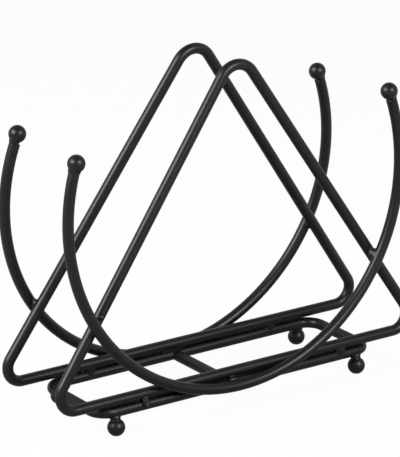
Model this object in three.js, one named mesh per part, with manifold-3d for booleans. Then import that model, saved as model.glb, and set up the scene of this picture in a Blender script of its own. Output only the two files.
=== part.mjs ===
// Welded wire napkin holder: two round-cornered triangles stand on a footed base loop,
// and a ball-tipped arc is welded across the outer face of each triangle.
// Millimetres, +Z up, front towards -Y, origin on the table below the triangles' middle.
import * as THREE from 'three';
import { mergeVertices } from 'three/addons/utils/BufferGeometryUtils.js';
import Module from 'manifold-3d';

const wasm = await Module();
wasm.setup();

// Wire stock, and the gap left between pieces that meet at a weld
const WIRE_DIAMETER = 3.95;
const CLEARANCE = 0.3;

// Triangles, measured along the wire's centre line to the points where the sides would meet
const TRIANGLE_BASE = 160;
const TRIANGLE_HEIGHT = 117.1;
const TRIANGLE_CORNER_RADIUS = 6;
const TRIANGLE_APEX_RADIUS = 7.7;
const FRONT_LEAN_DEGREES = 1.1;
const REAR_LEAN_DEGREES = 3.35;

// Arcs of one wire length, each welded on a little left of the middle and turned to the right
const ARC_LENGTH = 263.8;
const FRONT_ARC_RADIUS = 70.2;
const REAR_ARC_RADIUS = 68.9;
const FRONT_ARC_TURN_DEGREES = 1.4;
const REAR_ARC_TURN_DEGREES = 0.7;
const FRONT_ARC_SHIFT = -2.3;
const REAR_ARC_SHIFT = -5.35;
const FINIAL_RADIUS = 3.1;

// Base loop along its centre line, and the bar across it
const BASE_LENGTH = 116.3;
const BASE_WIDTH = 34.5;
const BASE_CORNER_RADIUS = 6.2;
const BASE_SHIFT = -0.7;
const CROSSBAR_SHIFT = -3.4;

// Ball feet, set in from the ends of the base loop, each with a small flat to stand on
const FOOT_RADIUS = 3.15;
const FOOT_FLAT_RADIUS = 1.3;
const FOOT_INSET = 6.05;
const FOOT_OUTSET = 1;

// Weld beads: half sizes, and how far a bead stands proud of the wire that it runs round
const CROSSING_BEAD_PROUD = 1.1;
const CROSSING_BEAD_DEPTH = 2.3;
const FINIAL_BEAD_PROUD = 0.65;
const FINIAL_BEAD_LENGTH = 2.1;
const CROSSBAR_BEAD_PROUD = 0.9;
const CROSSBAR_BEAD_LENGTH = 1.5;
const GROOVE_BEAD_LENGTH = 3.6;
const GROOVE_BEAD_DEPTH = 1.7;
const RAIL_BEAD_PROUD = 1;
const RAIL_BEAD_WIDTH = 1.25;
const RAIL_BEAD_DEPTH = 1.4;
const RAIL_BEAD_HEIGHT = 2.1;
const LEFT_RAIL_BEAD_INSET = 17.9;
const FRONT_RIGHT_RAIL_BEAD_INSET = 13.6;
const REAR_RIGHT_RAIL_BEAD_INSET = 19.5;
const FOOT_BEAD_WIDTH = 2.1;
const FOOT_BEAD_HEIGHT = 2.4;
const FOOT_BEAD_OUTSET = 0.5;

// Facet counts
const WIRE_SIDES = 12;
const BEND_STEPS = 8;
const ARC_STEPS = 40;
const BALL_SIDES = 16;
const BALL_RINGS = 9;
const BEAD_SIDES = 12;
const BEAD_RINGS = 8;
const MERGE_TOLERANCE = 1e-3;

// Sizes that follow from the ones above
const wireRadius = WIRE_DIAMETER / 2;
const wirePitch = WIRE_DIAMETER + CLEARANCE;
const roomRadius = wireRadius + CLEARANCE;
const footCentreHeight = Math.sqrt(FOOT_RADIUS ** 2 - FOOT_FLAT_RADIUS ** 2);
const footPitch = FOOT_RADIUS + CLEARANCE + wireRadius;
const footDrop = Math.sqrt(footPitch ** 2 - FOOT_OUTSET ** 2);
const baseHeight = footCentreHeight + footDrop;
const railHeight = baseHeight + wirePitch;

const frontSide = {
  name: 'front',
  sign: -1,
  lean: THREE.MathUtils.degToRad(FRONT_LEAN_DEGREES),
  arcRadius: FRONT_ARC_RADIUS,
  arcTurn: THREE.MathUtils.degToRad(FRONT_ARC_TURN_DEGREES),
  arcShift: FRONT_ARC_SHIFT,
  railBeadInsets: { left: LEFT_RAIL_BEAD_INSET, right: FRONT_RIGHT_RAIL_BEAD_INSET },
};
const rearSide = {
  name: 'rear',
  sign: 1,
  lean: THREE.MathUtils.degToRad(REAR_LEAN_DEGREES),
  arcRadius: REAR_ARC_RADIUS,
  arcTurn: THREE.MathUtils.degToRad(REAR_ARC_TURN_DEGREES),
  arcShift: REAR_ARC_SHIFT,
  railBeadInsets: { left: LEFT_RAIL_BEAD_INSET, right: REAR_RIGHT_RAIL_BEAD_INSET },
};
const sides = [frontSide, rearSide];
const leftEnd = { name: 'left', sign: -1 };
const rightEnd = { name: 'right', sign: 1 };
const ends = [leftEnd, rightEnd];

// A round bend: a start point turned about an axis through a centre.
class Bend extends THREE.Curve {
  constructor(centre, start, axis, sweep) {
    super();
    this.centre = centre;
    this.spoke = start.clone().sub(centre);
    this.axis = axis;
    this.sweep = sweep;
  }

  getPoint(t, target = new THREE.Vector3()) {
    return target.copy(this.spoke).applyAxisAngle(this.axis, this.sweep * t).add(this.centre);
  }
}

// A wire's centre line: straight runs of one step each, and bends of several.
class WirePath extends THREE.Curve {
  constructor(stretches) {
    super();
    this.stretches = stretches;
    this.steps = stretches.reduce((sum, stretch) => sum + stretch.steps, 0);
  }

  getPoint(t, target = new THREE.Vector3()) {
    const last = this.stretches.length - 1;
    let step = t * this.steps;
    let index = 0;
    while (index < last && step > this.stretches[index].steps) {
      step -= this.stretches[index].steps;
      index += 1;
    }
    const { curve, steps } = this.stretches[index];
    return curve.getPoint(step / steps, target);
  }

  getUtoTmapping(u) {
    return u;
  }
}

function straightPath(from, to) {
  return new WirePath([{ curve: new THREE.LineCurve3(from, to), steps: 1 }]);
}

// A closed loop through flat corner points, each with its own radius, from the middle of one side.
function loopPath(corners, normal) {
  const points = corners.map((corner) => corner.point);
  const count = points.length;
  const start = points[count - 1].clone().lerp(points[0], 0.5);
  const stretches = [];
  let from = start;
  corners.forEach(({ point, radius }, i) => {
    const back = points[(i + count - 1) % count].clone().sub(point).normalize();
    const onward = points[(i + 1) % count].clone().sub(point).normalize();
    const half = back.angleTo(onward) / 2;
    const bendStart = point.clone().addScaledVector(back, radius / Math.tan(half));
    const inward = back.clone().add(onward).normalize();
    const centre = point.clone().addScaledVector(inward, radius / Math.sin(half));
    const bend = new Bend(centre, bendStart, normal, Math.PI - 2 * half);
    stretches.push({ curve: new THREE.LineCurve3(from, bendStart), steps: 1 });
    stretches.push({ curve: bend, steps: BEND_STEPS });
    from = bend.getPoint(1);
  });
  stretches.push({ curve: new THREE.LineCurve3(from, start), steps: 1 });
  return new WirePath(stretches);
}

function wireSection(radius) {
  const section = new THREE.Shape();
  section.moveTo(radius, 0);
  for (let i = 1; i < WIRE_SIDES; i += 1) {
    const angle = (i / WIRE_SIDES) * 2 * Math.PI;
    section.lineTo(radius * Math.cos(angle), radius * Math.sin(angle));
  }
  return section;
}

function mergedSkin(geometry) {
  geometry.deleteAttribute('normal');
  geometry.deleteAttribute('uv');
  return mergeVertices(geometry, MERGE_TOLERANCE);
}

function sweepWire(path, radius) {
  return new THREE.ExtrudeGeometry(wireSection(radius), { steps: path.steps, extrudePath: path });
}

function openWire(path, radius) {
  return mergedSkin(sweepWire(path, radius));
}

// A loop's two ends meet, so its lids are left off and the seam is merged.
function closedWire(path, radius) {
  const swept = sweepWire(path, radius);
  const skin = swept.groups.find((part) => part.materialIndex === 1);
  const corners = swept.getAttribute('position').array;
  const kept = corners.slice(skin.start * 3, (skin.start + skin.count) * 3);
  const loop = new THREE.BufferGeometry();
  loop.setAttribute('position', new THREE.BufferAttribute(kept, 3));
  return mergedSkin(loop);
}

function ballAt(centre, radius) {
  const ball = new THREE.SphereGeometry(radius, BALL_SIDES, BALL_RINGS);
  return mergedSkin(ball.translate(centre.x, centre.y, centre.z));
}

function toSolid(geometry) {
  return new wasm.Manifold(new wasm.Mesh({
    numProp: 3,
    vertProperties: new Float32Array(geometry.getAttribute('position').array),
    triVerts: new Uint32Array(geometry.index.array),
  }));
}

function toGeometry(solid) {
  const mesh = solid.getMesh();
  const geometry = new THREE.BufferGeometry();
  geometry.setAttribute('position', new THREE.BufferAttribute(mesh.vertProperties, 3));
  geometry.setIndex(new THREE.BufferAttribute(mesh.triVerts, 1));
  geometry.computeVertexNormals();
  return geometry;
}

// An egg of weld metal, turned about Y, with its neighbours' room taken out of it.
function weldBead(halfSizes, centre, turn, rooms) {
  const egg = new THREE.SphereGeometry(1, BEAD_SIDES, BEAD_RINGS);
  egg.scale(halfSizes.x, halfSizes.y, halfSizes.z);
  egg.rotateY(turn);
  egg.translate(centre.x, centre.y, centre.z);
  const whole = toSolid(mergedSkin(egg));
  return toGeometry(rooms.reduce((bead, room) => bead.subtract(toSolid(room)), whole));
}

function blackCoat() {
  return new THREE.MeshStandardMaterial({ color: 0x1d1d1f, roughness: 0.48, metalness: 0.05 });
}

function addPiece(group, name, geometry) {
  const mesh = new THREE.Mesh(geometry, blackCoat());
  mesh.name = name;
  group.add(mesh);
  return mesh;
}

function trianglePath() {
  return loopPath([
    { point: new THREE.Vector3(TRIANGLE_BASE / 2, 0, 0), radius: TRIANGLE_CORNER_RADIUS },
    { point: new THREE.Vector3(0, 0, TRIANGLE_HEIGHT), radius: TRIANGLE_APEX_RADIUS },
    { point: new THREE.Vector3(-TRIANGLE_BASE / 2, 0, 0), radius: TRIANGLE_CORNER_RADIUS },
  ], new THREE.Vector3(0, -1, 0));
}

// An arc lies outside its triangle, with its lowest point beside the base rail.
function arcCentre(side) {
  return new THREE.Vector3(side.arcShift, side.sign * wirePitch, side.arcRadius - wirePitch);
}

// An arc end's angle about the arc's centre, counted from the lowest point.
function arcAngle(side, end, extraLength = 0) {
  return side.arcTurn + end.sign * (ARC_LENGTH / 2 + extraLength) / side.arcRadius;
}

function arcPoint(side, angle) {
  const spoke = new THREE.Vector3(Math.sin(angle), 0, -Math.cos(angle));
  return arcCentre(side).addScaledVector(spoke, side.arcRadius);
}

function arcPath(side, extraLength = 0) {
  const first = arcAngle(side, leftEnd, extraLength);
  const sweep = arcAngle(side, rightEnd, extraLength) - first;
  const start = arcPoint(side, first);
  const bend = new Bend(arcCentre(side), start, new THREE.Vector3(0, -1, 0), sweep);
  return new WirePath([{ curve: bend, steps: ARC_STEPS }]);
}

function basePath() {
  const corners = [[1, -1], [1, 1], [-1, 1], [-1, -1]].map(([x, y]) => ({
    point: new THREE.Vector3(x * BASE_LENGTH / 2, y * BASE_WIDTH / 2, 0),
    radius: BASE_CORNER_RADIUS,
  }));
  return loopPath(corners, new THREE.Vector3(0, 0, 1));
}

function crossbarPath(extraLength = 0) {
  const reach = BASE_WIDTH / 2 - roomRadius + extraLength;
  const from = new THREE.Vector3(CROSSBAR_SHIFT, -reach, 0);
  return straightPath(from, new THREE.Vector3(CROSSBAR_SHIFT, reach, 0));
}

// Where an arc passes over a leg of its triangle, midway between the two wires.
function crossingPoint(side, end) {
  const corner = new THREE.Vector2(end.sign * TRIANGLE_BASE / 2, 0);
  const leg = new THREE.Vector2(0, TRIANGLE_HEIGHT).sub(corner);
  const centre = arcCentre(side);
  const toCorner = corner.clone().sub(new THREE.Vector2(centre.x, centre.z));
  const a = leg.lengthSq();
  const b = leg.dot(toCorner);
  const c = toCorner.lengthSq() - side.arcRadius ** 2;
  const along = (-b - Math.sqrt(b * b - a * c)) / a;
  const crossing = corner.addScaledVector(leg, along);
  return new THREE.Vector3(crossing.x, side.sign * wirePitch / 2, crossing.y);
}

function crossingWeld(side, end, rooms) {
  const reach = wireRadius + CROSSING_BEAD_PROUD;
  const halfSizes = new THREE.Vector3(reach, CROSSING_BEAD_DEPTH, reach);
  return weldBead(halfSizes, crossingPoint(side, end), 0, [rooms.triangle, rooms.arc]);
}

function finialCentre(side, end) {
  const angle = arcAngle(side, end);
  const onward = new THREE.Vector3(Math.cos(angle), 0, Math.sin(angle));
  const reach = end.sign * (FINIAL_RADIUS + CLEARANCE);
  return arcPoint(side, angle).addScaledVector(onward, reach);
}

function finialWeld(side, end, rooms) {
  const reach = wireRadius + FINIAL_BEAD_PROUD;
  const halfSizes = new THREE.Vector3(FINIAL_BEAD_LENGTH, reach, reach);
  const angle = arcAngle(side, end);
  const ballRoom = ballAt(finialCentre(side, end), FINIAL_RADIUS + CLEARANCE);
  return weldBead(halfSizes, arcPoint(side, angle), -angle, [rooms.arc, ballRoom]);
}

function crossbarWeld(side, rooms) {
  const reach = wireRadius + CROSSBAR_BEAD_PROUD;
  const halfSizes = new THREE.Vector3(reach, CROSSBAR_BEAD_LENGTH, reach);
  const centre = new THREE.Vector3(CROSSBAR_SHIFT, side.sign * (BASE_WIDTH / 2 - roomRadius), 0);
  return weldBead(halfSizes, centre, 0, [rooms.base, rooms.crossbar]);
}

// The groove that an arc's lowest point makes with the base rail and the triangle's rail.
function grooveWeld(side, rooms) {
  const halfSizes = new THREE.Vector3(GROOVE_BEAD_LENGTH, GROOVE_BEAD_DEPTH, GROOVE_BEAD_DEPTH);
  const outward = side.sign * (BASE_WIDTH + wirePitch) / 2;
  const centre = new THREE.Vector3(side.arcShift - BASE_SHIFT, outward, wirePitch / 2);
  return weldBead(halfSizes, centre, 0, [rooms.base, rooms.triangle, rooms.arc]);
}

// A tack across the front of a base rail and of the triangle's rail on top of it.
function railWeld(side, end, rooms) {
  const halfSizes = new THREE.Vector3(RAIL_BEAD_WIDTH, RAIL_BEAD_DEPTH, RAIL_BEAD_HEIGHT);
  const along = end.sign * (BASE_LENGTH / 2 - side.railBeadInsets[end.name]);
  const forward = wireRadius + RAIL_BEAD_PROUD - RAIL_BEAD_DEPTH;
  const centre = new THREE.Vector3(along, side.sign * BASE_WIDTH / 2 - forward, wirePitch / 2);
  return weldBead(halfSizes, centre, 0, [rooms.base, rooms.triangle]);
}

function footBall() {
  const flatAngle = Math.asin(FOOT_FLAT_RADIUS / FOOT_RADIUS);
  const profile = [new THREE.Vector2(0, -footCentreHeight)];
  for (let i = 0; i < BALL_RINGS; i += 1) {
    const angle = THREE.MathUtils.lerp(flatAngle, Math.PI, i / BALL_RINGS);
    profile.push(new THREE.Vector2(FOOT_RADIUS * Math.sin(angle), -FOOT_RADIUS * Math.cos(angle)));
  }
  profile.push(new THREE.Vector2(0, FOOT_RADIUS));
  return mergedSkin(new THREE.LatheGeometry(profile, BALL_SIDES).rotateX(Math.PI / 2));
}

function footCentre(side, end) {
  const along = end.sign * (BASE_LENGTH / 2 - FOOT_INSET);
  return new THREE.Vector3(along, side.sign * (BASE_WIDTH / 2 + FOOT_OUTSET), -footDrop);
}

function footWeld(side, end, rooms) {
  const halfSizes = new THREE.Vector3(FOOT_BEAD_WIDTH, FOOT_BEAD_WIDTH, FOOT_BEAD_HEIGHT);
  const ball = footCentre(side, end);
  const rail = new THREE.Vector3(ball.x, side.sign * BASE_WIDTH / 2, 0);
  const centre = rail.lerp(ball, wireRadius / footPitch);
  centre.y += side.sign * FOOT_BEAD_OUTSET;
  return weldBead(halfSizes, centre, 0, [rooms.base, ballAt(ball, FOOT_RADIUS + CLEARANCE)]);
}

const holder = new THREE.Group();

const base = new THREE.Group();
base.position.set(BASE_SHIFT, 0, baseHeight);
base.updateMatrix();
holder.add(base);
addPiece(base, 'base_loop', closedWire(basePath(), wireRadius));
addPiece(base, 'crossbar', openWire(crossbarPath(), wireRadius));

for (const side of sides) {
  // One face of the holder leans inwards from its rail up.
  const face = new THREE.Group();
  face.position.set(0, side.sign * BASE_WIDTH / 2, railHeight);
  face.rotation.x = side.sign * side.lean;
  face.updateMatrix();
  holder.add(face);
  addPiece(face, `${side.name}_triangle`, closedWire(trianglePath(), wireRadius));
  addPiece(face, `${side.name}_arc`, openWire(arcPath(side), wireRadius));
  const faceRooms = {
    triangle: closedWire(trianglePath(), roomRadius),
    arc: openWire(arcPath(side, CLEARANCE), roomRadius),
  };
  for (const end of ends) {
    const place = `${side.name}_${end.name}`;
    addPiece(face, `${place}_arc_weld`, crossingWeld(side, end, faceRooms));
    addPiece(face, `${place}_finial`, ballAt(finialCentre(side, end), FINIAL_RADIUS));
    addPiece(face, `${place}_finial_weld`, finialWeld(side, end, faceRooms));
  }

  // The lower welds belong to the base loop, so the face's wires are taken into its frame.
  const faceToBase = base.matrix.clone().invert().multiply(face.matrix);
  const baseRooms = {
    base: closedWire(basePath(), roomRadius),
    crossbar: openWire(crossbarPath(CLEARANCE), roomRadius),
    triangle: faceRooms.triangle.clone().applyMatrix4(faceToBase),
    arc: faceRooms.arc.clone().applyMatrix4(faceToBase),
  };
  addPiece(base, `${side.name}_crossbar_weld`, crossbarWeld(side, baseRooms));
  addPiece(base, `${side.name}_groove_weld`, grooveWeld(side, baseRooms));
  for (const end of ends) {
    const place = `${side.name}_${end.name}`;
    addPiece(base, `${place}_rail_weld`, railWeld(side, end, baseRooms));
    addPiece(base, `${place}_foot`, footBall()).position.copy(footCentre(side, end));
    addPiece(base, `${place}_foot_weld`, footWeld(side, end, baseRooms));
  }
}

export default holder;
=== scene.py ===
import math
import bpy
from mathutils import Matrix, Vector


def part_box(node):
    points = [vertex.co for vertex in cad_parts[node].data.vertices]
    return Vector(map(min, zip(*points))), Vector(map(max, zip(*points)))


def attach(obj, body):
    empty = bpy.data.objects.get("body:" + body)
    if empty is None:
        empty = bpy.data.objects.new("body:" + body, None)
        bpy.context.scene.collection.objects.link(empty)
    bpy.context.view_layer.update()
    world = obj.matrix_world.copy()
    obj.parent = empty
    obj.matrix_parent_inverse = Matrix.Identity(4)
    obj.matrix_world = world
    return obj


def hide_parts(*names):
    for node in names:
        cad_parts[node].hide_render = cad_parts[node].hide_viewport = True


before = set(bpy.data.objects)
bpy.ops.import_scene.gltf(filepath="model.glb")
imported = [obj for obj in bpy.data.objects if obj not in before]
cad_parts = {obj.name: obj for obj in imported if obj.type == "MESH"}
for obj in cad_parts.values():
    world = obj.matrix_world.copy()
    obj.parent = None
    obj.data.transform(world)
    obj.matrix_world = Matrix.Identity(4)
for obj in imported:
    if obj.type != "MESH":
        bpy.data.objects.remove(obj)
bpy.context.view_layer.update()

# Black coated wire napkin holder: two triangles on a footed base loop, with a ball-tipped arc on each.
# Metres, +Z up, front towards -Y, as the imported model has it.

mm = 0.001
onPlane = 0.0001 * mm  # points this near a cut count as on it
creaseDegrees = 40  # sharper edges stay sharp
sides = {"front": -1, "rear": 1}
ends = {"left": -1, "right": 1}


def middleOf(node):
    low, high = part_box(node)
    return (low + high) / 2


def sizeOf(node):
    low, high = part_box(node)
    return high - low


def clearSelection():
    if bpy.context.object and bpy.context.object.mode != "OBJECT":
        bpy.ops.object.mode_set(mode="OBJECT")
    bpy.ops.object.select_all(action="DESELECT")


def pick(piece):
    clearSelection()
    piece.select_set(True)
    bpy.context.view_layer.objects.active = piece


def edit(piece):
    pick(piece)
    bpy.ops.object.mode_set(mode="EDIT")
    bpy.ops.mesh.select_all(action="SELECT")


def nameLike(node):  # front_left_foot becomes frontLeftFoot
    first, *others = node.split("_")
    return first + "".join(word.capitalize() for word in others)


def copyPiece(piece):
    pick(piece)
    bpy.ops.object.duplicate()
    return bpy.context.object


def rename(piece, name):
    piece.name = name
    piece.data.name = name


def settle():  # works the active piece's place, turn and size into its mesh
    bpy.ops.object.transform_apply(location=True, rotation=True, scale=True)


def placeCopy(pattern, name, place):  # a copy with its own mesh
    piece = copyPiece(pattern)
    rename(piece, name)
    piece.matrix_world = place
    settle()
    return piece


def discard(*pieces):
    clearSelection()
    for piece in pieces:
        piece.select_set(True)
    bpy.ops.object.delete()


def joinPieces(pieces):
    clearSelection()
    for piece in pieces:
        piece.select_set(True)
    bpy.context.view_layer.objects.active = pieces[0]
    if len(pieces) > 1:
        bpy.ops.object.join()
    return bpy.context.object


def applyModifier(piece, kind, **settings):
    pick(piece)
    modifier = piece.modifiers.new(kind.title(), kind)
    for key, value in settings.items():
        setattr(modifier, key, value)
    bpy.ops.object.modifier_apply(modifier=modifier.name)


def lookFrom(turnDegrees, riseDegrees):  # 0, 0 is straight from the front
    turn = math.radians(turnDegrees)
    rise = math.radians(riseDegrees)
    return Vector((math.sin(turn) * math.cos(rise), -math.cos(turn) * math.cos(rise), math.sin(rise)))


def facing(turnDegrees, riseDegrees):  # a turn that points Z that way
    return lookFrom(turnDegrees, riseDegrees).to_track_quat("Z", "Y").to_matrix()


def cutAway(place, outward):  # cuts the piece in edit mode and closes the cut
    bpy.ops.mesh.select_all(action="SELECT")
    bpy.ops.mesh.bisect(
        plane_co=place,
        plane_no=outward,
        use_fill=True,
        clear_outer=True,
        threshold=onPlane,
    )


def smoothShade(piece):
    pick(piece)
    bpy.ops.object.shade_smooth_by_angle(angle=math.radians(creaseDegrees))


# Wire drawing: a ring is pushed along straight runs and spun round the bends
wire = {
    "inside": 0.01 * mm,  # the round wire stays this far inside the solid's box
    "ringSides": 40,
    "bendSteps": 20,
    "arcSteps": 120,
    "mergeWithin": 0.01 * mm,
}
wire["radius"] = sizeOf("crossbar").z / 2 - wire["inside"]


def startWire(name, place, along):
    clearSelection()
    bpy.ops.mesh.primitive_circle_add(
        vertices=wire["ringSides"],
        radius=wire["radius"],
        location=place,
        rotation=along.to_track_quat("Z", "Y").to_euler(),
    )
    piece = bpy.context.object
    rename(piece, name)
    settle()
    edit(piece)
    return piece


def drawStraight(step):
    bpy.ops.mesh.extrude_region_move(TRANSFORM_OT_translate={"value": step})


def drawBend(centre, axis, turn, steps):
    bpy.ops.mesh.spin(steps=steps, angle=-turn, center=centre, axis=axis)  # spin runs left-handed


def endWire(piece):
    bpy.ops.mesh.select_all(action="SELECT")
    bpy.ops.mesh.remove_doubles(threshold=wire["mergeWithin"])
    bpy.ops.mesh.select_all(action="DESELECT")
    bpy.ops.mesh.select_non_manifold()  # the open ends, if it has any
    bpy.ops.mesh.fill_holes(sides=0)
    bpy.ops.mesh.select_all(action="SELECT")
    bpy.ops.mesh.normals_make_consistent(inside=False)
    smoothShade(piece)
    return piece


def drawLoop(name, corners, normal):  # from halfway along the side before the first corner
    points = [point for point, radius in corners]
    start = (points[-1] + points[0]) / 2
    piece = startWire(name, start, points[0] - points[-1])
    here = start
    for index, (corner, radius) in enumerate(corners):
        back = (points[index - 1] - corner).normalized()
        onward = (points[(index + 1) % len(points)] - corner).normalized()
        half = back.angle(onward) / 2
        turn = math.pi - 2 * half
        bendStart = corner + back * (radius / math.tan(half))
        centre = corner + (back + onward).normalized() * (radius / math.sin(half))
        drawStraight(bendStart - here)
        drawBend(centre, normal, turn, wire["bendSteps"])
        here = centre + Matrix.Rotation(turn, 3, normal) @ (bendStart - centre)
    drawStraight(start - here)
    return endWire(piece)


# The base loop and the bar across it
base = {
    "middle": middleOf("base_loop"),
    "halfLength": sizeOf("base_loop").x / 2 - wire["radius"],
    "halfWidth": sizeOf("base_loop").y / 2 - wire["radius"],
    "cornerRadius": 6.2 * mm,
    "barLength": sizeOf("crossbar").y,
}


def makeBaseLoop():
    corners = []
    for x, y in ((1, -1), (1, 1), (-1, 1), (-1, -1)):
        reach = Vector((x * base["halfLength"], y * base["halfWidth"], 0))
        corners.append((base["middle"] + reach, base["cornerRadius"]))
    return drawLoop("baseLoop", corners, Vector((0, 0, 1)))


def makeCrossbar():
    along = Vector((0, base["barLength"], 0))
    piece = startWire("crossbar", middleOf("crossbar") - along / 2, along)
    drawStraight(along)
    return endWire(piece)


# The two faces: each has a triangle standing on the base loop and leaning inwards, and an arc outside it
face = {
    "triangleBase": 160 * mm,  # to the points where the sides would meet
    "triangleHeight": 117.1 * mm,
    "cornerRadius": 6 * mm,
    "apexRadius": 7.7 * mm,
    "leanDegrees": {"front": 1.1, "rear": 3.35},
    "wirePitch": 4.1 * mm,  # between the middles of two wires that are welded together
    "arcLength": 263.8 * mm,  # both arcs are cut to one length and bent by hand
    "arcRadius": {"front": 70.2 * mm, "rear": 68.9 * mm},
    "arcShift": {"front": -2.3 * mm, "rear": -5.35 * mm},
    "arcTurnDegrees": {"front": 1.4, "rear": 0.7},
}


def facePlace(side):  # the face's own upright plane, put on the base rail and leant
    rail = Vector((0, sides[side] * base["halfWidth"], base["middle"].z + face["wirePitch"]))
    lean = math.radians(sides[side] * face["leanDegrees"][side])
    return Matrix.Translation(rail) @ Matrix.Rotation(lean, 4, "X")


def arcMiddle(side):  # in the face's plane
    height = face["arcRadius"][side] - face["wirePitch"]
    return Vector((face["arcShift"][side], sides[side] * face["wirePitch"], height))


def arcTurn(side, end):  # where the arc ends, counted from its lowest point
    half = face["arcLength"] / 2 / face["arcRadius"][side]
    return math.radians(face["arcTurnDegrees"][side]) + ends[end] * half


def arcSpoke(side, turn):
    return Vector((math.sin(turn), 0, -math.cos(turn))) * face["arcRadius"][side]


def arcAxes(side, end):  # at an arc's end: outward, across the wire, and onward to the ball
    outward = arcSpoke(side, arcTurn(side, end)).normalized()
    across = Vector((0, ends[end], 0))
    return Matrix((outward, across, outward.cross(across))).transposed()


def makeTriangle():
    half = face["triangleBase"] / 2
    corners = [
        (Vector((half, 0, 0)), face["cornerRadius"]),
        (Vector((0, 0, face["triangleHeight"])), face["apexRadius"]),
        (Vector((-half, 0, 0)), face["cornerRadius"]),
    ]
    return drawLoop("trianglePattern", corners, Vector((0, -1, 0)))


def makeArc(side):
    first = arcTurn(side, "left")
    along = Vector((math.cos(first), 0, math.sin(first)))
    piece = startWire(side + "ArcPattern", arcSpoke(side, first), along)
    sweep = arcTurn(side, "right") - first
    drawBend(Vector((0, 0, 0)), Vector((0, -1, 0)), sweep, wire["arcSteps"])
    return endWire(piece)


# Solid balls: a finial on each arc end and a foot under each base corner, with a flat where each is welded
ball = {
    "segments": 56,
    "rings": 36,
    "finialRadius": 3.1 * mm,
    "footRadius": 3.15 * mm,
    "weldFlat": 1.5 * mm,  # the flat's radius
    "weldInset": 0.5 * mm,  # to a smaller face inside the flat
    "standFlat": 1.3 * mm,
    "standRound": 0.35 * mm,  # softened rim of the flat that the foot stands on
    "standSteps": 4,
}


def flatDepth(radius, flat):  # how far from the ball's middle the flat lies
    return math.sqrt(radius**2 - flat**2)


def makeBall(name, radius):  # weld flat at the top
    clearSelection()
    bpy.ops.mesh.primitive_uv_sphere_add(
        segments=ball["segments"], ring_count=ball["rings"], radius=radius
    )
    piece = bpy.context.object
    rename(piece, name)
    edit(piece)
    cutAway((0, 0, flatDepth(radius, ball["weldFlat"])), (0, 0, 1))
    bpy.ops.mesh.inset(thickness=ball["weldInset"])
    return piece


def makeFinial():
    piece = makeBall("finialPattern", ball["finialRadius"])
    smoothShade(piece)
    return piece


def makeFoot():
    piece = makeBall("footPattern", ball["footRadius"])
    cutAway((0, 0, -flatDepth(ball["footRadius"], ball["standFlat"])), (0, 0, -1))
    bpy.ops.mesh.bevel(offset=ball["standRound"], segments=ball["standSteps"])
    smoothShade(piece)
    return piece


def finialPlace(side, end):  # weld flat turned to face back down the arc
    turned = facePlace(side).to_3x3() @ arcAxes(side, end) @ Matrix.Diagonal((1, -1, -1))
    return Matrix.Translation(middleOf(f"{side}_{end}_finial")) @ turned.to_4x4()


def footPlace(side, end):
    low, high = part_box(f"{side}_{end}_foot")
    middle = Vector(((low.x + high.x) / 2, (low.y + high.y) / 2, high.z - ball["footRadius"]))
    return Matrix.Translation(middle)


baseLoop = makeBaseLoop()
crossbar = makeCrossbar()
print("base loop and crossbar drawn")

trianglePattern = makeTriangle()
finialPattern = makeFinial()
footPattern = makeFoot()
triangles = {}
arcs = {}
finials = {}
feet = {}
for side in sides:
    place = facePlace(side)
    triangles[side] = placeCopy(trianglePattern, side + "Triangle", place)
    arcPattern = makeArc(side)
    arcs[side] = placeCopy(arcPattern, side + "Arc", place @ Matrix.Translation(arcMiddle(side)))
    discard(arcPattern)
    for end in ends:
        corner = side + end.title()
        finials[side, end] = placeCopy(finialPattern, corner + "Finial", finialPlace(side, end))
        feet[side, end] = placeCopy(footPattern, corner + "Foot", footPlace(side, end))
discard(trianglePattern, finialPattern, footPattern)
print("triangles, arcs, finials and feet drawn")


# Welds: short stretches of the neighbours and drops of metal are melted together,
# and the neighbours are taken out again, so the fillet alone is left.
# A drop is written in millimetres: its place, its half sizes and, for some, the turn and rise of the way
# that the last of these points
weld = {
    "dropSteps": 4,
    "grain": 0.16 * mm,
    "melt": 0.5,
    "meltPasses": 34,
    "coatDraw": -0.05 * mm,  # draws the melt in a little, so that it dies away into the wire
    "crumb": 0.02 * mm,  # smaller bits are merged after the cut
}


def cutStretch(piece, middle, reach):
    stretch = copyPiece(piece)
    edit(stretch)
    for axis in (Vector((1, 0, 0)), Vector((0, 1, 0)), Vector((0, 0, 1))):
        for outward in (axis, -axis):
            cutAway(middle + outward * reach, outward)
    bpy.ops.object.mode_set(mode="OBJECT")
    return stretch


def addDrop(middle, halfSizes, turn):
    clearSelection()
    bpy.ops.mesh.primitive_ico_sphere_add(subdivisions=weld["dropSteps"], radius=1)
    drop = bpy.context.object
    shape = Matrix.Diagonal(Vector(halfSizes) * mm).to_4x4()
    drop.matrix_world = Matrix.Translation(middle) @ turn.to_4x4() @ shape
    settle()
    return drop


def cleanCut(piece):  # the cut leaves many-sided faces and crumbs, which become clean triangles
    edit(piece)
    bpy.ops.mesh.select_mode(type="EDGE")
    bpy.ops.mesh.remove_doubles(threshold=weld["crumb"])
    bpy.ops.mesh.select_all(action="SELECT")
    bpy.ops.mesh.dissolve_degenerate(threshold=weld["crumb"])
    bpy.ops.mesh.select_all(action="SELECT")
    bpy.ops.mesh.quads_convert_to_tris(ngon_method="BEAUTY")
    bpy.ops.mesh.select_all(action="DESELECT")
    bpy.ops.mesh.select_non_manifold(  # only edges that join more than two faces
        use_wire=False,
        use_boundary=False,
        use_non_contiguous=False,
        use_verts=False,
    )
    bpy.ops.mesh.merge(type="COLLAPSE")
    bpy.ops.mesh.select_all(action="SELECT")
    bpy.ops.mesh.delete_loose(use_faces=True)
    bpy.ops.mesh.select_mode(type="VERT")
    bpy.ops.object.mode_set(mode="OBJECT")


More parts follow.
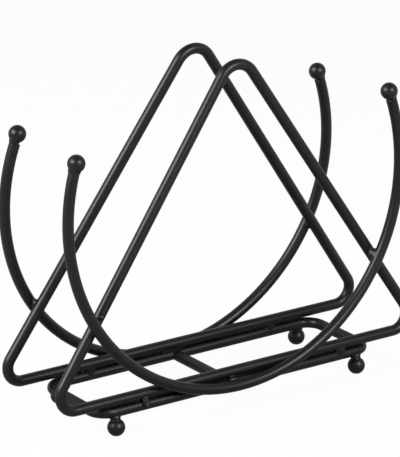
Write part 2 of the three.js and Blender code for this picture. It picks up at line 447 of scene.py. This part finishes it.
def makeWeld(name, middle, reach, neighbours, drops):
    stretches = joinPieces([cutStretch(piece, middle, reach) for piece in neighbours])
    melt = joinPieces([copyPiece(stretches)] + [addDrop(*drop) for drop in drops])
    rename(melt, name)
    applyModifier(melt, "REMESH", mode="VOXEL", voxel_size=weld["grain"])
    applyModifier(melt, "SMOOTH", factor=weld["melt"], iterations=weld["meltPasses"])
    applyModifier(melt, "DISPLACE", mid_level=0, strength=weld["coatDraw"])
    applyModifier(melt, "BOOLEAN", object=stretches, operation="DIFFERENCE", solver="EXACT")
    cleanCut(melt)
    discard(stretches)
    smoothShade(melt)
    print("weld", name, len(melt.data.polygons))
    return melt


crossing = {
    "reach": 6 * mm,
    "drops": {  # along, out and up from the crossing
        "front_left": [
            ((0, 0, 0), (1.7, 1.8, 1.5), (0, 0)),
            ((2, 0.3, 4.7), (1.2, 1.2, 0.7), (-20, 26)),
        ],
        "front_right": [
            ((-0.6, 0, 0.7), (2.1, 2.3, 1.6), (0, 0)),
            ((-0.9, 1.8, 1), (2, 2.2, 1), (-62, 31)),
        ],
        "rear_left": [((0, 0.2, 1), (1.4, 1.9, 1.7), (0, 0))],
        "rear_right": [((-0.2, 0, -0.6), (1.9, 1.9, 2), (0, 0))],
    },
}


def crossingPoint(side, end):  # where the arc passes over the triangle's leg, midway between the two
    corner = Vector((ends[end] * face["triangleBase"] / 2, 0))
    leg = Vector((0, face["triangleHeight"])) - corner
    middle = arcMiddle(side)
    toCorner = corner - Vector((middle.x, middle.z))
    overlap = leg.dot(toCorner)
    beyond = toCorner.length_squared - face["arcRadius"][side] ** 2
    spare = overlap * overlap - leg.length_squared * beyond
    share = (-overlap - math.sqrt(spare)) / leg.length_squared
    point = corner + leg * share
    return Vector((point.x, sides[side] * face["wirePitch"] / 2, point.y))


def makeCrossingWeld(side, end):
    place = facePlace(side)
    middle = crossingPoint(side, end)
    drops = []
    for (along, out, up), halfSizes, way in crossing["drops"][f"{side}_{end}"]:
        spot = middle + Vector((along, sides[side] * out, up)) * mm
        drops.append((place @ spot, halfSizes, facing(*way)))
    neighbours = [triangles[side], arcs[side]]
    name = nameLike(f"{side}_{end}_arc_weld")
    return makeWeld(name, place @ middle, crossing["reach"], neighbours, drops)


finialNeck = {
    "reach": 5.5 * mm,
    "drops": [  # outward, across and onward from the arc's end
        ((0.3, 0, 0.4), (1.75, 1.85, 1.2)),
        ((1, 0, 0.8), (1.4, 1.7, 1.5)),
    ],
    "fuller": {"front_left": [((-1, 0, 0.8), (1.4, 1.7, 1.5))]},  # one neck has metal all round
}


def makeFinialWeld(side, end):
    place = facePlace(side)
    tip = place @ (arcMiddle(side) + arcSpoke(side, arcTurn(side, end)))
    turn = place.to_3x3() @ arcAxes(side, end)
    metal = finialNeck["drops"] + finialNeck["fuller"].get(f"{side}_{end}", [])
    drops = [(tip + turn @ (Vector(spot) * mm), halfSizes, turn) for spot, halfSizes in metal]
    neighbours = [arcs[side], finials[side, end]]
    name = nameLike(f"{side}_{end}_finial_weld")
    return makeWeld(name, tip, finialNeck["reach"], neighbours, drops)


footNeck = {
    "reach": 5.5 * mm,
    "neck": (2, 2, 1.6),  # where rail and foot meet
    "swelling": (2.2, 1.1, 1.4),  # under the rail, a little outwards
    "swellingOut": 0.6 * mm,
    "swellingDown": 1.4 * mm,
}


def makeFootWeld(side, end):
    foot = footPlace(side, end).translation
    rail = Vector((foot.x, sides[side] * base["halfWidth"], base["middle"].z))
    middle = rail.lerp(foot, wire["radius"] / (rail - foot).length)
    swelling = rail + Vector((0, sides[side] * footNeck["swellingOut"], -footNeck["swellingDown"]))
    level = Matrix.Identity(3)
    drops = [(middle, footNeck["neck"], level), (swelling, footNeck["swelling"], level)]
    neighbours = [baseLoop, feet[side, end]]
    name = nameLike(f"{side}_{end}_foot_weld")
    return makeWeld(name, middle, footNeck["reach"], neighbours, drops)


tack = {
    "reach": 3.5 * mm,
    "drops": {  # forward and up from between the rails
        "front_left": [
            ((1.8, -0.6), (1.3, 1.9, 1.2), (0, 0)),
            ((2.2, -0.4), (1.5, 2.6, 0.7), (-11, 26)),
        ],
        "front_right": [((1.15, 0), (2.2, 2.3, 1), (0, 0))],
        "rear_left": [((1.2, 0.3), (1.8, 3.2, 1), (0, 0))],
        "rear_right": [((1, 0), (2.2, 1.8, 1), (0, 0))],
    },
}


def makeRailWeld(side, end):
    node = f"{side}_{end}_rail_weld"
    middle = middleOf(node)
    middle.y = sides[side] * base["halfWidth"]
    middle.z = base["middle"].z + face["wirePitch"] / 2
    drops = []
    for (forward, up), halfSizes, way in tack["drops"][f"{side}_{end}"]:
        drops.append((middle + Vector((0, -forward, up)) * mm, halfSizes, facing(*way)))
    return makeWeld(nameLike(node), middle, tack["reach"], [baseLoop, triangles[side]], drops)


groove = {
    "reach": 4.8 * mm,
    "drops": [((-1.6, 0, -0.1), (2.3, 1, 0.9))],  # along, out and up from between the three wires
}


def makeGrooveWeld(side):
    node = f"{side}_groove_weld"
    middle = Vector((
        arcMiddle(side).x,
        sides[side] * (base["halfWidth"] + face["wirePitch"] / 2),
        base["middle"].z + face["wirePitch"] / 2,
    ))
    drops = []
    for (along, out, up), halfSizes in groove["drops"]:
        spot = middle + Vector((along, sides[side] * out, up)) * mm
        drops.append((spot, halfSizes, Matrix.Identity(3)))
    neighbours = [baseLoop, triangles[side], arcs[side]]
    return makeWeld(nameLike(node), middle, groove["reach"], neighbours, drops)


barEnd = {
    "reach": 5 * mm,
    "collar": (2, 1, 2),
}


def makeCrossbarWeld(side):
    node = f"{side}_crossbar_weld"
    middle = middleOf("crossbar")
    middle.y = sides[side] * base["barLength"] / 2
    drops = [(middle, barEnd["collar"], Matrix.Identity(3))]
    return makeWeld(nameLike(node), middle, barEnd["reach"], [baseLoop, crossbar], drops)


welds = {}
for side in sides:
    welds[f"{side}_groove_weld"] = makeGrooveWeld(side)
    welds[f"{side}_crossbar_weld"] = makeCrossbarWeld(side)
    for end in ends:
        welds[f"{side}_{end}_arc_weld"] = makeCrossingWeld(side, end)
        welds[f"{side}_{end}_finial_weld"] = makeFinialWeld(side, end)
        welds[f"{side}_{end}_foot_weld"] = makeFootWeld(side, end)
        welds[f"{side}_{end}_rail_weld"] = makeRailWeld(side, end)
print("welds melted and trimmed:", len(welds))


# Shader maths: a wrapped socket takes plain operators, and every other node comes from add
class Flow:
    def __init__(self, tree, socket):
        self.tree = tree
        self.socket = socket

    def sum(self, operation, first, second):
        node = self.tree.nodes.new("ShaderNodeMath")
        node.operation = operation
        for entry, item in zip(node.inputs, (first, second)):
            plugIn(self.tree, entry, item)
        return Flow(self.tree, node.outputs[0])

    def __add__(self, other):
        return self.sum("ADD", self, other)

    def __radd__(self, other):
        return self.sum("ADD", other, self)

    def __sub__(self, other):
        return self.sum("SUBTRACT", self, other)

    def __rsub__(self, other):
        return self.sum("SUBTRACT", other, self)

    def __mul__(self, other):
        return self.sum("MULTIPLY", self, other)

    def __rmul__(self, other):
        return self.sum("MULTIPLY", other, self)


def plugIn(tree, entry, item):
    if isinstance(item, Flow):
        tree.links.new(item.socket, entry)
    else:
        entry.default_value = item


class Finish:
    def __init__(self, owner):
        owner.use_nodes = True
        self.tree = owner.node_tree
        self.tree.nodes.clear()

    def add(self, kind, settings, sockets, output=0):
        node = self.tree.nodes.new("ShaderNode" + kind)
        for key, value in settings.items():
            setattr(node, key, value)
        for key, item in sockets.items():
            plugIn(self.tree, node.inputs[key], item)
        return Flow(self.tree, node.outputs[output]) if node.outputs else None

    def noise(self, place, size, detail=2, roughness=0.5):  # the size is that of one grain
        return self.add(
            "TexNoise",
            {"noise_dimensions": "3D"},
            {"Vector": place, "Scale": 1 / size, "Detail": detail, "Roughness": roughness},
        )


# Satin black powder coat: cloudy in tone, with a slight orange peel, and lumpier on the welds
coat = {
    "black": (0.0012, 0.0012, 0.0014, 1),
    "worn": (0.0045, 0.0045, 0.0048, 1),
    "cloudSize": 9 * mm,
    "cloudDetail": 4,
    "cloudFineness": 0.6,
    "cloudRoughness": 0.08,
    "peelSize": 0.9 * mm,
    "peelDepth": 0.012 * mm,
    "grainSize": 0.22 * mm,
    "grainDetail": 1,
    "grainDepth": 0.0018 * mm,
    "grainRoughness": 0.08,
    "roughness": 0.39,
    "specular": 0.38,
    "wireLumps": {"size": 6 * mm, "depth": 0.01 * mm},
    "weldLumps": {"size": 2 * mm, "depth": 0.015 * mm},
}
colourMix = {"first": 6, "second": 7, "mixed": 2}  # a Mix node's colour sockets, which go by number
noiseMiddle = 0.5


def makeCoat(name, lumps):
    material = bpy.data.materials.new(name)
    finish = Finish(material)
    place = finish.add("TexCoord", {}, {}, "Object")
    cloud = finish.noise(place, coat["cloudSize"], coat["cloudDetail"], coat["cloudFineness"])
    peel = finish.noise(place, coat["peelSize"])
    grain = finish.noise(place, coat["grainSize"], coat["grainDetail"])
    lump = finish.noise(place, lumps["size"])
    shade = finish.add(
        "Mix",
        {"data_type": "RGBA"},
        {"Factor": cloud, colourMix["first"]: coat["black"], colourMix["second"]: coat["worn"]},
        colourMix["mixed"],
    )
    rough = coat["roughness"] + (cloud - noiseMiddle) * coat["cloudRoughness"]
    rough = rough + (grain - noiseMiddle) * coat["grainRoughness"]
    height = peel * coat["peelDepth"] + grain * coat["grainDepth"] + lump * lumps["depth"]
    bump = finish.add("Bump", {}, {"Height": height, "Distance": 1, "Strength": 1})
    shader = finish.add(
        "BsdfPrincipled",
        {},
        {"Base Color": shade, "Roughness": rough, "Specular IOR Level": coat["specular"], "Normal": bump},
    )
    finish.add("OutputMaterial", {}, {"Surface": shader})
    return material


blackCoat = makeCoat("blackCoat", coat["wireLumps"])
weldCoat = makeCoat("coatedWeld", coat["weldLumps"])


def dress(piece, node, material):
    piece.data.materials.clear()
    piece.data.materials.append(material)
    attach(piece, "root")
    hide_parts(node)


dress(baseLoop, "base_loop", blackCoat)
dress(crossbar, "crossbar", blackCoat)
for side in sides:
    dress(triangles[side], side + "_triangle", blackCoat)
    dress(arcs[side], side + "_arc", blackCoat)
    for end in ends:
        dress(finials[side, end], f"{side}_{end}_finial", blackCoat)
        dress(feet[side, end], f"{side}_{end}_foot", blackCoat)
for node, piece in welds.items():
    dress(piece, node, weldCoat)
print("coat laid on")


# The photograph's camera
view = {
    "turnDegrees": -34.88,
    "riseDegrees": 18.616,
    "distance": 1.14097,
    "lens": 255.69,
    "target": Vector((-4.865, 0, 60.884)) * mm,
}


# Pale floor that keeps a soft shadow, in a white room.
# The coat mirrors the room as dimmer, most so over the camera's head, and mirrors the floor close by
# darker, as a painted shadow of the holder
room = {
    "white": (1, 1, 1, 1),
    "floorSize": 8,
    "floorSquares": 4,
    "floorColour": (0.82, 0.82, 0.82, 1),
    "floorRoughness": 0.85,
    "paperSize": 2 * mm,
    "paperRoughness": 0.1,
    "floorGlow": 0.95,  # how much of the floor shows as plain white
    "floorMirroredWithPaintedShadow": (0.26, 0.64),  # how white the coat mirrors the floor, close by (a painted shadow of the holder) and further off
    "paintedShadowReach": (0.05, 0.15),  # how far off these are; the painted shadow fades out between them
    "wallMirrored": 0.62,  # and the walls at either side
    "wallFall": 0.54,  # how much whiter the wall behind is, and how much dimmer the dim side
    "dimRise": 64,  # the dim side is over the camera's head
    "skyLight": 0.08,
}


def seenBackground(finish, mirrored):  # white to the camera, and dimmer as a mirror or glass shows it
    camera = finish.add("LightPath", {}, {}, "Is Camera Ray")
    glossy = finish.add("LightPath", {}, {}, "Is Glossy Ray")
    through = finish.add("LightPath", {}, {}, "Is Transmission Ray")
    return finish.add("Clamp", {}, {"Value": camera + (glossy + through) * mirrored})


def makeFloor():
    clearSelection()
    bpy.ops.mesh.primitive_grid_add(
        x_subdivisions=room["floorSquares"],
        y_subdivisions=room["floorSquares"],
        size=room["floorSize"],
    )
    floor = bpy.context.object
    floor.name = "floor"
    material = bpy.data.materials.new("paleFloor")
    finish = Finish(material)
    place = finish.add("TexCoord", {}, {}, "Object")
    paper = finish.noise(place, room["paperSize"])
    rough = room["floorRoughness"] + paper * room["paperRoughness"]
    matt = finish.add("BsdfPrincipled", {}, {"Base Color": room["floorColour"], "Roughness": rough})
    away = finish.add("VectorMath", {"operation": "LENGTH"}, {0: place}, "Value")
    near, far = room["paintedShadowReach"]
    nearPaintedShadow, farShade = room["floorMirroredWithPaintedShadow"]
    # painted shadow: the floor that the coat mirrors is darker close to the holder and fades out further
    # off
    mirrored = finish.add(
        "MapRange",
        {},
        {"Value": away, "From Min": near, "From Max": far, "To Min": nearPaintedShadow, "To Max": farShade},
    )
    white = seenBackground(finish, mirrored)
    glow = finish.add("Emission", {}, {"Color": room["white"], "Strength": white})
    share = finish.add("Math", {"operation": "CEIL"}, {0: white}) * room["floorGlow"]
    surface = finish.add("MixShader", {}, {"Fac": share, 1: matt, 2: glow})
    finish.add("OutputMaterial", {}, {"Surface": surface})
    floor.data.materials.append(material)


def makeSky():
    world = bpy.data.worlds.new("whiteRoom")
    bpy.context.scene.world = world
    finish = Finish(world)
    way = finish.add("TexCoord", {}, {}, "Generated")
    dimWay = lookFrom(view["turnDegrees"], room["dimRise"])
    dim = finish.add("VectorMath", {"operation": "DOT_PRODUCT"}, {0: way, 1: dimWay}, "Value")
    mirrored = room["wallMirrored"] - dim * room["wallFall"]
    strength = room["skyLight"] + seenBackground(finish, mirrored) * (1 - room["skyLight"])
    sky = finish.add("Background", {}, {"Color": room["white"], "Strength": strength})
    finish.add("OutputWorld", {}, {"Surface": sky})


makeFloor()
makeSky()


# Each turn is counted from the camera's side, and each rise from level
softboxes = {
    "leftSoftbox": {"turn": -60, "rise": 33, "distance": 1.1, "width": 0.66, "height": 0.42, "watts": 14.5},
    "rightSoftbox": {"turn": 47, "rise": 30, "distance": 1.1, "width": 0.4, "height": 0.36, "watts": 9.2},
}


def makeCamera():
    clearSelection()
    back = lookFrom(view["turnDegrees"], view["riseDegrees"])
    bpy.ops.object.camera_add(
        location=view["target"] + back * view["distance"],
        rotation=back.to_track_quat("Z", "Y").to_euler(),
    )
    camera = bpy.context.object
    camera.data.lens = view["lens"]
    bpy.context.scene.camera = camera


def makeSoftbox(name, box):
    clearSelection()
    back = lookFrom(view["turnDegrees"] + box["turn"], box["rise"])
    bpy.ops.object.light_add(
        type="AREA",
        location=view["target"] + back * box["distance"],
        rotation=back.to_track_quat("Z", "Y").to_euler(),
    )
    lamp = bpy.context.object
    lamp.name = name
    lamp.data.shape = "RECTANGLE"
    lamp.data.size = box["width"]
    lamp.data.size_y = box["height"]
    lamp.data.energy = box["watts"]


makeCamera()
for name, box in softboxes.items():
    makeSoftbox(name, box)
bpy.context.scene.view_settings.view_transform = "Standard"
print("room, camera and softboxes set")
